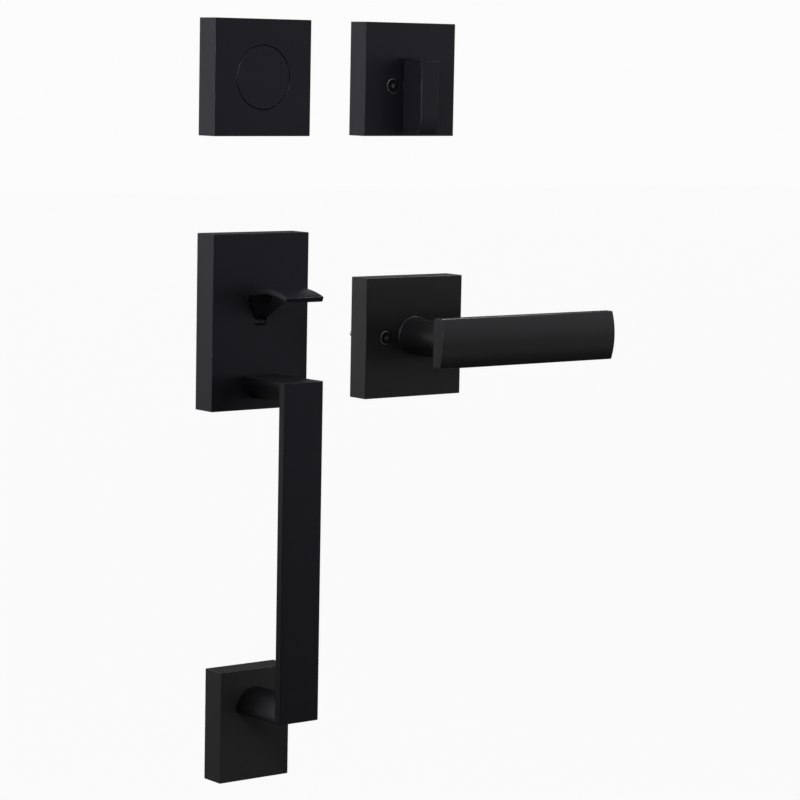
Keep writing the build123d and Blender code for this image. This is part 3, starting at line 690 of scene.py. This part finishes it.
def screw_pair(node, cover_piece, turns):
    """The two screws of one inner rose, joined into one object as in the CAD model."""
    low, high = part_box(node)
    z = (low.z + high.z) / 2
    columns = (low.x + head_r, high.x - head_r)
    finish = screw_finish(node + " oxide", columns, z, low.y)
    heads = []
    for x, turn in zip(columns, turns):
        heads.append(screw_head(node, x, z, low.y, high.y, turn))
        seat(cover_piece, x, z, low.y - head_drop)
    only(heads[0])
    heads[1].select_set(True)
    bpy.ops.object.join()
    dress(heads[0], finish, node, "trims")
    return z


turn_z = screw_pair("deadbolt_screws", inner_deadbolt, (0.3, 1.1))
lever_z = screw_pair("lever_screws", lever_cover, (0.15, 0.8))
print("screw rows at", in_mm(turn_z, lever_z))

# %% [markdown]
# The inner deadbolt rose also has the round hole of the thumb turn, which its hub fills. The
# lever rose has a larger one for the bush of the neck.

# %% Holes for the hubs
turn_hole_r = 5.6 * MM
bush_hole_r = 12.3 * MM
turn_x = (inner_low.x + inner_high.x) / 2
lever_x = (lever_low.x + lever_high.x) / 2
drill(inner_deadbolt, turn_hole_r, inner_low.y - 2 * MM, inner_low.y + 6 * MM, turn_x, turn_z)
dress(inner_deadbolt, coating, "deadbolt_inner_rose", "trims")
drill(lever_cover, bush_hole_r, lever_low.y - 2 * MM, lever_low.y + 6 * MM, lever_x, lever_z, 96)
dress(lever_cover, lever_coating, "lever_rose", "trims")
print("hub holes at", in_mm(turn_x, lever_x))

# %% [markdown]
# ## The thumb turn
#
# The paddle is a plain bar on edge, except that its front sweeps back towards the rose at the
# lower end and leans a little at the top. It starts as a block. Bisect cuts it across at the
# heights where the sweep bends, and the rings of vertices there are pushed back along an arc.

# %% Thumb turn
paddle_half = 6.5 * MM
paddle_back = inner_low.y - 1.7 * MM
paddle_front = inner_low.y - 19.5 * MM
paddle_top = turn_z + 16.6 * MM
paddle_low = turn_z - 28.3 * MM
top_lean = 1.8 * MM
sweep_height = 11.0 * MM
sweep_back = 2.2 * MM
sweep_steps = 10
turn_piece = block("thumb_turn", (turn_x - paddle_half, paddle_front, paddle_low),
                   (turn_x + paddle_half, paddle_back, paddle_top))
for step in range(1, sweep_steps + 1):
    slice_at(turn_piece, (0, 0, paddle_low + sweep_height * step / sweep_steps), (0, 0, 1))
for step in range(sweep_steps):
    share = 1 - step / sweep_steps
    level = paddle_low + sweep_height * step / sweep_steps
    shift(turn_piece, lambda vert: near(vert.co.z, level) and near(vert.co.y, paddle_front),
          (0, sweep_back * share ** 2, 0))
shift(turn_piece, lambda vert: near(vert.co.z, paddle_top) and near(vert.co.y, paddle_front),
      (0, 0, -top_lean))
print("paddle from", in_mm(paddle_low), "to", in_mm(paddle_top))

# %% [markdown]
# The four edges round the top of the paddle are crisper than the long ones. The angle between
# the faces leaves out the rings that bisect left across the sides.

# %% Edges and hub of the thumb turn
top_band = 2.5 * MM
hub_r = 5.5 * MM
hub_end = -8.6 * MM


def at_top(edge):
    return middle(edge).z > paddle_top - top_band


def paddle_top_edge(edge):
    """An edge round the top that runs across and not down."""
    across = abs(edge.verts[0].co.z - edge.verts[1].co.z) < top_band
    return sharp(edge, 30) and at_top(edge) and across


bevel(turn_piece, 0.3 * MM, 2, paddle_top_edge)
bevel(turn_piece, 0.65 * MM, 4, lambda edge: sharp(edge, 30) and not at_top(edge))
add_bar(turn_piece, hub_r, paddle_back - 1 * MM, hub_end, turn_x, turn_z)
dress(turn_piece, coating, "thumb_turn", "turn", angle=25)

# %% [markdown]
# ## The handle plate's slot
#
# The thumb piece enters the plate through a slot, a little wider than its web so that it can
# drop. The cutter is a block whose upper end is widened, which follows the flare of the web.

# %% Slot in the handle plate
slot_half = 3.95 * MM
slot_low = -2.2 * MM
slot_knee = 1.3 * MM
slot_top = 15.4 * MM
slot_flare = 2.647
slot_cutter = block("cutter", (-slot_half, plate_low.y - 3 * MM, slot_low),
                    (slot_half, plate_low.y + 8 * MM, slot_top))
slice_at(slot_cutter, (0, 0, slot_knee), (0, 0, 1))
edit(slot_cutter, "FACE")
pick(slot_cutter, "faces", lambda face: face.normal.z > 0.9)
bpy.ops.transform.resize(value=(slot_flare, 1, 1), center_override=(0, 0, slot_top))
done()
combine(plate, slot_cutter, "DIFFERENCE")


def slot_rim(edge):
    """An edge of the slot in the plate's face."""
    spot = middle(edge)
    flat = all(near(vert.co.y, plate_low.y) for vert in edge.verts)
    beside = abs(spot.x) < slot_half * slot_flare + 1 * MM
    return flat and beside and slot_low - 1.8 * MM < spot.z < slot_top + 1.6 * MM


print("slot rim edges", bevel(plate, 0.15 * MM, 2, slot_rim))
dress(plate, coating, "handle_plate", "trims")
dress(foot, foot_coating_painted_lighter, "foot_rose", "trims")

# %% [markdown]
# ## The thumb piece
#
# The pad is a curved tongue, the same thickness all along. Spin makes it: one cross section
# turns about the axis of the pad's arc.

# %% The pad
pad_half = 12.9 * MM
pad_thickness = 3.3 * MM
pad_arc_r = 58.0 * MM
pad_crest_y = -40.0 * MM
pad_crest_z = 20.8 * MM
pad_tip_y = -60.3 * MM
pad_root_y = -28.0 * MM
pad_round = 0.7 * MM
arc_centre = Vector((0, pad_crest_y, pad_crest_z - pad_arc_r))


def pad_turn(y):
    """The angle of the pad's arc at y, from the vertical."""
    return math.asin((y - pad_crest_y) / pad_arc_r)


bpy.ops.mesh.primitive_plane_add(size=1, location=(0, pad_crest_y, pad_crest_z - pad_thickness / 2),
                                 rotation=(math.pi / 2, 0, 0))
pad = bpy.context.object
pad.name = "thumb_piece"
pad.scale = (2 * pad_half, pad_thickness, 1)
apply_place()
edit(pad, "FACE", "SELECT")
bpy.ops.transform.rotate(value=pad_turn(pad_tip_y), orient_axis="X", center_override=arc_centre)
done()
sweep_angle = pad_turn(pad_root_y) - pad_turn(pad_tip_y)
edit(pad, "FACE", "SELECT")
bpy.ops.mesh.spin(steps=20, angle=sweep_angle, center=arc_centre, axis=(1, 0, 0))
bpy.ops.mesh.select_all(action="SELECT")
bpy.ops.mesh.remove_doubles(threshold=0.01 * MM)
bpy.ops.mesh.normals_make_consistent(inside=False)
done()
bevel(pad, pad_round, 4, sharp)
ends = [vert.co.y for vert in pad.data.vertices]
print("pad from", in_mm(min(ends)), "to", in_mm(max(ends)))

# %% [markdown]
# The web under the pad is a stack of sections, listed from the pivot to the tip. Each row gives
# the depth of the section and, from its upper to its lower edge, three levels with their height
# and how far they reach to each side: the web goes straight up in the slot and flares from there.
# A block is bisected once for each section and once across, and the rings are moved and widened
# to their rows. A subdivision surface then turns the steps into one smooth flare.

# %% The web
web_rows = [
    # depth y, then height z and half width of the upper edge, the knee and the lower edge
    (-9.0, (13.4, 4.0), (5.6, 3.6), (4.6, 3.6)),
    (-16.5, (15.2, 8.8), (3.6, 3.6), (1.5, 3.6)),
    (-21.5, (16.3, 8.8), (6.2, 4.1), (4.4, 3.9)),
    (-27.5, (17.4, 9.0), (10.1, 5.2), (8.7, 4.8)),
    (-33.5, (18.4, 9.4), (13.8, 7.0), (12.8, 6.6)),
    (-40.5, (18.9, 9.8), (17.8, 9.5), (17.4, 9.4)),
]
# The block's own rings, before they are moved to the rows: depths, levels and half width.
ring_y = [-9.0 - 6.0 * row for row in range(len(web_rows))]
ring_z = (30.0, 15.0, 0.0)
ring_half = 4.0
web = block("web", (-ring_half * MM, ring_y[-1] * MM, 0),
            (ring_half * MM, ring_y[0] * MM, ring_z[0] * MM))
for y in ring_y[1:-1]:
    slice_at(web, (0, y * MM, 0), (0, 1, 0))
slice_at(web, (0, 0, ring_z[1] * MM), (0, 0, 1))
for y, row in reversed(list(zip(ring_y, web_rows))):
    for level, (new_z, half) in zip(ring_z, row[1:]):
        edit(web, "VERT")
        pick(web, "verts", lambda vert: near(vert.co.y, y * MM) and near(vert.co.z, level * MM)
             and near(abs(vert.co.x), ring_half * MM, 0.001 * MM))
        bpy.ops.transform.resize(value=(half / ring_half, 1, 1), center_override=(0, y * MM, level * MM))
        bpy.ops.transform.translate(value=(0, (row[0] - y) * MM, (new_z - level) * MM))
        done()
bevel(web, 0.6 * MM, 2, sharp)
smooth = web.modifiers.new("smooth", "SUBSURF")
smooth.levels = smooth.render_levels = 2
only(web)
bpy.ops.object.modifier_apply(modifier=smooth.name)
print("web", len(web.data.polygons), "faces")

# %% [markdown]
# The heel of the thumb piece stops against the plate at each release. Below a certain height, and near
# the plate, its colour goes over into a light grey: a painted highlight for the light on the heel bar.
# Under the pad a darker, duller film is painted in as painted shade: below the arc of the pad and near
# the plate, and most of all on the web's sides and inside the slot.

# %% The coating of the thumb piece
thumb_finish = Finish("satin black, heel rubbed")
thumb_x, thumb_y, thumb_z = [thumb_finish.axis(letter) for letter in "XYZ"]
thumb_drift = thumb_finish.noise(drift_size, detail=3.0)
thumb_peel = thumb_finish.noise(peel_size, detail=1.0)
heel_spot = thumb_z.short_of(1.6 * MM, 0.5 * MM) * thumb_y.past(-14.0 * MM, 0.3 * MM)
# Painted highlight: the heel goes over to light grey for the light on the bar.
painted_highlight = heel_spot * (0.7 + 0.6 * (thumb_peel - 0.5))
thumb_tone = thumb_finish.mix(thumb_drift, *shades(coat_colour))
thumb_coating = thumb_finish.set(
    Base_Color=thumb_finish.mix(painted_highlight, thumb_tone, (0.16, 0.16, 0.16, 1)),
    Roughness=coat_roughness + 0.07 * (thumb_drift - 0.5),
    Specular_IOR_Level=coat_gloss, Specular_Tint=(*coat_tint, 1),
    Normal=thumb_finish.bump(thumb_peel, peel_depth, 0.4))
print("thumb piece coating", thumb_coating.name)

# %% Its painted shade under the pad
under_arc = pad_arc_r - pad_thickness - 0.1 * MM
arc_reach = ((thumb_y - arc_centre.y) ** 2.0 + (thumb_z - arc_centre.z) ** 2.0) ** 0.5
under_pad = arc_reach.short_of(under_arc, 0.3 * MM)
by_plate = thumb_y.past(-28.6 * MM, 0.5 * MM)
aside = (thumb_x ** 2.0) ** 0.5
flank_from = (0.4 * MM + 0.44 * thumb_z).at_least(2.6 * MM)
flank = aside.past(flank_from, 0.5 * MM)
in_slot = thumb_y.past(-18.6 * MM, 0.4 * MM)
deepest_shade = (flank + in_slot).clamped()
# A darker, duller film painted under the pad as painted shade.
painted_shade_film(thumb_finish, (under_pad + by_plate).clamped() * (0.10 + 0.90 * deepest_shade) * (1.0 - heel_spot))
print("dry film below the arc of radius", in_mm(under_arc))

# %% [markdown]
# The pad and the web become one casting with a Boolean union, together with the pivot barrel
# and the lifting arm behind it. Those two are plain turned and milled shapes inside the plate,
# so they are taken from the CAD node itself: a copy of it, cut off behind the plate's face. The
# heel, the round bar that stops against the inside of the plate, shows at the bottom of the slot.
# It is modelled here with a plain cylinder, a little fuller, as the photo shows it.

# %% One casting
rear_from = -14.5 * MM
heel_r = 2.0 * MM
heel_length = 12.8 * MM
heel_place = (0, -11.3 * MM, -0.35 * MM)
rear = frame["nodes"]["thumb_piece"].copy()
rear.data = rear.data.copy()
rear.parent = None
bpy.context.scene.collection.objects.link(rear)
edit(rear, "FACE", "SELECT")
bpy.ops.mesh.remove_doubles(threshold=0.001 * MM)
done()
slice_at(rear, (0, rear_from, 0), (0, -1, 0), cut_off=True)
bpy.ops.mesh.primitive_cylinder_add(vertices=48, radius=heel_r, depth=heel_length,
                                    location=heel_place, rotation=(0, math.pi / 2, 0))
heel = bpy.context.object
apply_place()
for other in (web, rear, heel):
    combine(pad, other, "UNION")
dress(pad, thumb_coating, "thumb_piece", "thumb", angle=35)

# %% [markdown]
# ## The grip
#
# Bar and arms are one casting. The bar is a block and each arm half of a round bar, cut flat
# on its outer side, flush with the end of the bar. After the union only the outer, convex edges
# are rounded; the inner corners between bar and arm stay as sharp as the real ones look. Behind
# the foot rose the lower arm goes on as a boss with a tapped hole for the bolt of the foot.

# %% Bar and arms
grip_low, grip_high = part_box("grip")
arm_r = (grip_high.x - grip_low.x) / 2
bar_back = grip_low.y + 5.0 * MM
arm_start = grip_low.y + 2.5 * MM
boss_r = 6.0 * MM
tapped_r = 2.5 * MM
lower_arm_z = grip_low.z + 6.3 * MM
grip_piece = block("grip", grip_low, (grip_high.x, bar_back, grip_high.z))


def arm(z, outer_side, end_y):
    """Half a round bar from the back of the bar to end_y, flat at z; outer_side is +1 or -1."""
    half = bar("arm", arm_r, arm_start, end_y, 0, z, 128)
    slice_at(half, (0, 0, z), (0, 0, outer_side), cut_off=True)
    return half


def grip_edge(edge):
    """Convex edges that aren't against a plate."""
    return sharp(edge) and edge.is_convex and middle(edge).y < -17 * MM


combine(grip_piece, arm(grip_high.z, 1, plate_low.y), "UNION")
combine(grip_piece, arm(grip_low.z, -1, foot_low.y), "UNION")
print("grip edges", bevel(grip_piece, 0.5 * MM, 3, grip_edge))
add_bar(grip_piece, boss_r, foot_low.y - 1 * MM, -1 * MM, 0, lower_arm_z)
drill(grip_piece, tapped_r, -23 * MM, 1 * MM, 0, lower_arm_z, 48)

# %% [markdown]
# The arms lie behind the bar. They get painted shade, a darker and duller film that grows towards the
# plates, where shade falls, and is deepest on the lower arm.

# %% The coating of the grip
arm_span = 30.0 * MM
low_arm_top = grip_low.z + 20.0 * MM


def arm_painted_shade(finish):
    """The share of painted shade: nothing on the bar, more towards the plates, most on the lower arm."""
    depth, height = finish.axis("Y"), finish.axis("Z")
    low_arm = depth.past(bar_back, 1.0 * MM) * height.short_of(low_arm_top, 1.0 * MM)
    return (depth.past(bar_back, arm_span) * 0.8 + low_arm * 0.35).clamped() * 0.9


# The arms of the grip carry painted shade towards the plates.
grip_coating = black_coating("satin black grip coating", painted_shade_share=arm_painted_shade)
dress(grip_piece, grip_coating, "grip", "trims")

# %% [markdown]
# ## The lever
#
# The blade is flat behind, where the fingers pull, and crowned in front. The crown is made like
# the sweep of the thumb turn: bisect cuts the block at several heights, and the front vertices of
# each ring are moved back along an arc. The neck is a plain round bar.

# %% Blade and neck
blade_low, blade_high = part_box("lever")
blade_back = -54.2 * MM
blade_mid = (blade_low.z + blade_high.z) / 2
blade_half = (blade_high.z - blade_low.z) / 2
crown_depth = 2.7 * MM
crown_r = (blade_half ** 2 + crown_depth ** 2) / (2 * crown_depth)
crown_steps = 16
lever_piece = block("lever", blade_low, (blade_high.x, blade_back, blade_high.z))
levels = [blade_low.z + 2 * blade_half * step / crown_steps for step in range(crown_steps + 1)]
for level in levels[1:-1]:
    slice_at(lever_piece, (0, 0, level), (0, 0, 1))
for level in levels:
    fall = crown_r - math.sqrt(crown_r ** 2 - (level - blade_mid) ** 2)
    shift(lever_piece, lambda vert: near(vert.co.z, level) and near(vert.co.y, blade_low.y),
          (0, fall, 0))
print("crown radius", in_mm(crown_r))

# %% [markdown]
# The long edges at the back are well rounded, for the fingers, and all others only a little. The
# bore in the neck takes the steel hub.

# %% Edges, neck and bore of the lever
neck_r = 11.0 * MM
neck_end = -4 * MM
bore_r = 7.42 * MM
bore_start = -28 * MM


def back_corner(edge):
    """One of the two long edges at the back of the blade."""
    spot = middle(edge)
    ends = near(spot.x, blade_low.x) or near(spot.x, blade_high.x)
    rims = near(spot.z, blade_low.z) or near(spot.z, blade_high.z)
    return near(spot.y, blade_back) and rims and not ends


bevel(lever_piece, 1.8 * MM, 5, back_corner)
bevel(lever_piece, 0.5 * MM, 3, lambda edge: sharp(edge, 40))
add_bar(lever_piece, neck_r, blade_back - 1 * MM, neck_end, lever_x, lever_z, 128)
drill(lever_piece, bore_r, bore_start, 1 * MM, lever_x, lever_z)
dress(lever_piece, lever_coating, "lever", "lever_body")
frame["nodes"]["neck_bush"].data.materials[0] = lever_coating

# %% [markdown]
# ## Studio
#
# The photo is a catalogue picture: the parts stand free on white. The floor is far below, so that
# it stays pale and the shadow on it is faint. The parts mirror next to nothing of it: its glow is
# for the camera's rays.

# %% Floor
bpy.ops.mesh.primitive_plane_add(size=30, location=(0, 0, -0.75))
floor = bpy.context.object
floor.name = "floor"
floor_finish = Finish("pale floor")
seen, mirrored, through = [floor_finish.node("ShaderNodeLightPath", output=ray) for ray in
                           ("Is Camera Ray", "Is Glossy Ray", "Is Transmission Ray")]
floor_finish.set(Base_Color=(0.06, 0.06, 0.06, 1), Roughness=0.9, Emission_Color=(1, 1, 1, 1),
                 Emission_Strength=0.925 * seen + 0.02 * (mirrored + through))
floor.data.materials.append(floor_finish.material)
print("floor ready")

# %% [markdown]
# The world is white to the camera. What the parts mirror is another matter, because a black part
# shows little else: the world is pale on the left and behind, dim on the right and dark in front,
# as a studio with black curtains round the camera is. This keeps the front faces almost black
# while the left sides turn grey. Each change is a soft step along one axis of the direction.

# %% World
world = bpy.data.worlds.new("studio")
bpy.context.scene.world = world
world.use_nodes = True
sky = Graph(world.node_tree)
background = sky.tree.nodes["Background"]


def heading(letter):
    """One coordinate of the direction in which a ray leaves."""
    direction = sky.node("ShaderNodeTexCoord", output="Generated")
    return sky.node("ShaderNodeSeparateXYZ", None, {0: direction}, output=letter)


def soft_step(source, start, end, first=0.0, last=1.0):
    """Goes smoothly from the first value at start to the last value at end."""
    return sky.node("ShaderNodeMapRange", {"interpolation_type": "SMOOTHSTEP"}, {
        "Value": source, "From Min": start, "From Max": end, "To Min": first, "To Max": last})


left_half = soft_step(heading("Y"), -0.25, 0.35, 0.03, 0.77)
right_half = soft_step(heading("Y"), -0.5, 0.5, 0.38, 0.07)
to_right = soft_step(heading("X"), -0.3, 0.3)
around = sky.node("ShaderNodeMix", None, {0: to_right, 2: left_half, 3: right_half})
camera_ray = sky.node("ShaderNodeLightPath", output="Is Camera Ray")
strength = sky.node("ShaderNodeMix", None, {0: camera_ray, 2: around, 3: 0.97})
sky.feed(background.inputs["Strength"], strength)
sky.feed(background.inputs["Color"], (1, 1, 1, 1))
print("world", world.name)

# %% [markdown]
# Most lamps are large and soft. Those with an angle at the end of their row have a narrow beam:
# each puts a faint light on one piece, as a little mirror or a card would beside a real set.

# %% Lamps
def softbox(name, place, aim, width, height, watts, spread=180):
    """A soft rectangular lamp that faces a point; spread is the angle of its beam in degrees."""
    lamp = bpy.data.lights.new(name, "AREA")
    lamp.shape = "RECTANGLE"
    lamp.size = width
    lamp.size_y = height
    lamp.energy = watts
    lamp.spread = math.radians(spread)
    holder = bpy.data.objects.new(name, lamp)
    bpy.context.scene.collection.objects.link(holder)
    holder.location = place
    holder.rotation_euler = (Vector(aim) - Vector(place)).to_track_quat("-Z", "Y").to_euler()


centre = (0.05, -0.03, -0.05)
lamps = [
    # name, place, point that it faces, width, height, watts, and the beam where it is narrow
    ("top softbox", (-0.3, -0.5, 1.5), centre, 1.0, 0.9, 5),
    ("right strip", (1.5, -0.9, 0.2), centre, 0.3, 1.4, 1.7),
    ("high edge lamp", (-0.85, -0.75, 0.75), centre, 0.2, 0.5, 6),
    ("low edge lamp", (-1.1, -0.5, 0.28), (0.05, -0.03, 0.19), 0.12, 0.4, 0.13, 14),
    ("low lamp", (0.65, 0.1, -0.60), centre, 0.5, 0.2, 0.12),
    ("front lamp", (0.75, -1.05, -0.24), (0, -0.05, -0.29), 0.4, 0.4, 0.006, 14),
    ("low blade lamp", (0.73, -0.70, -0.28), (0.21, -0.06, -0.015), 0.3, 0.3, 0.0022, 10),
    ("blade lamp", (0.46, -0.08, 0.42), (0.11, -0.06, 0.0), 0.12, 0.12, 0.04, 28),
    ("pad lamp", (0.34, 0.40, 0.27), (0, -0.045, 0.02), 0.24, 0.16, 0.0011, 14),
    ("upper side lamp", (-0.45, 0.35, 0.28), (-0.033, -0.008, 0.14), 0.3, 0.4, 0.25),
    ("lower side lamp", (-0.2, 0.35, -0.05), (0.077, -0.008, -0.013), 0.25, 0.3, 0.08),
]
for lamp_row in lamps:
    softbox(*lamp_row)
print(len(lamps), "lamps")

# %% [markdown]
# ## Camera
#
# The camera was found by measuring the corners of the parts in the photo and solving for the
# place and turn that put them there: a long lens, to the left of the parts and a little above.

# %% Camera
camera_place = (-0.9918, -1.4258, 0.1519)
yaw, pitch, roll = math.radians(37.832), math.radians(-6.49), math.radians(1.087)
ahead = Vector((math.sin(yaw) * math.cos(pitch), math.cos(yaw) * math.cos(pitch), math.sin(pitch)))
level_right = Vector((math.cos(yaw), -math.sin(yaw), 0))
level_up = level_right.cross(ahead)
right = level_right * math.cos(roll) + level_up * math.sin(roll)
up = level_up * math.cos(roll) - level_right * math.sin(roll)
lens = bpy.data.cameras.new("camera")
lens.lens = 135
lens.sensor_width = 36
lens.clip_start, lens.clip_end = 0.05, 100
camera = bpy.data.objects.new("camera", lens)
bpy.context.scene.collection.objects.link(camera)
turned = Matrix((right, up, -ahead)).transposed().to_4x4()
camera.matrix_world = Matrix.Translation(camera_place) @ turned
bpy.context.scene.camera = camera
bpy.context.scene.view_settings.view_transform = "Standard"
print("camera at", in_mm(*camera_place))
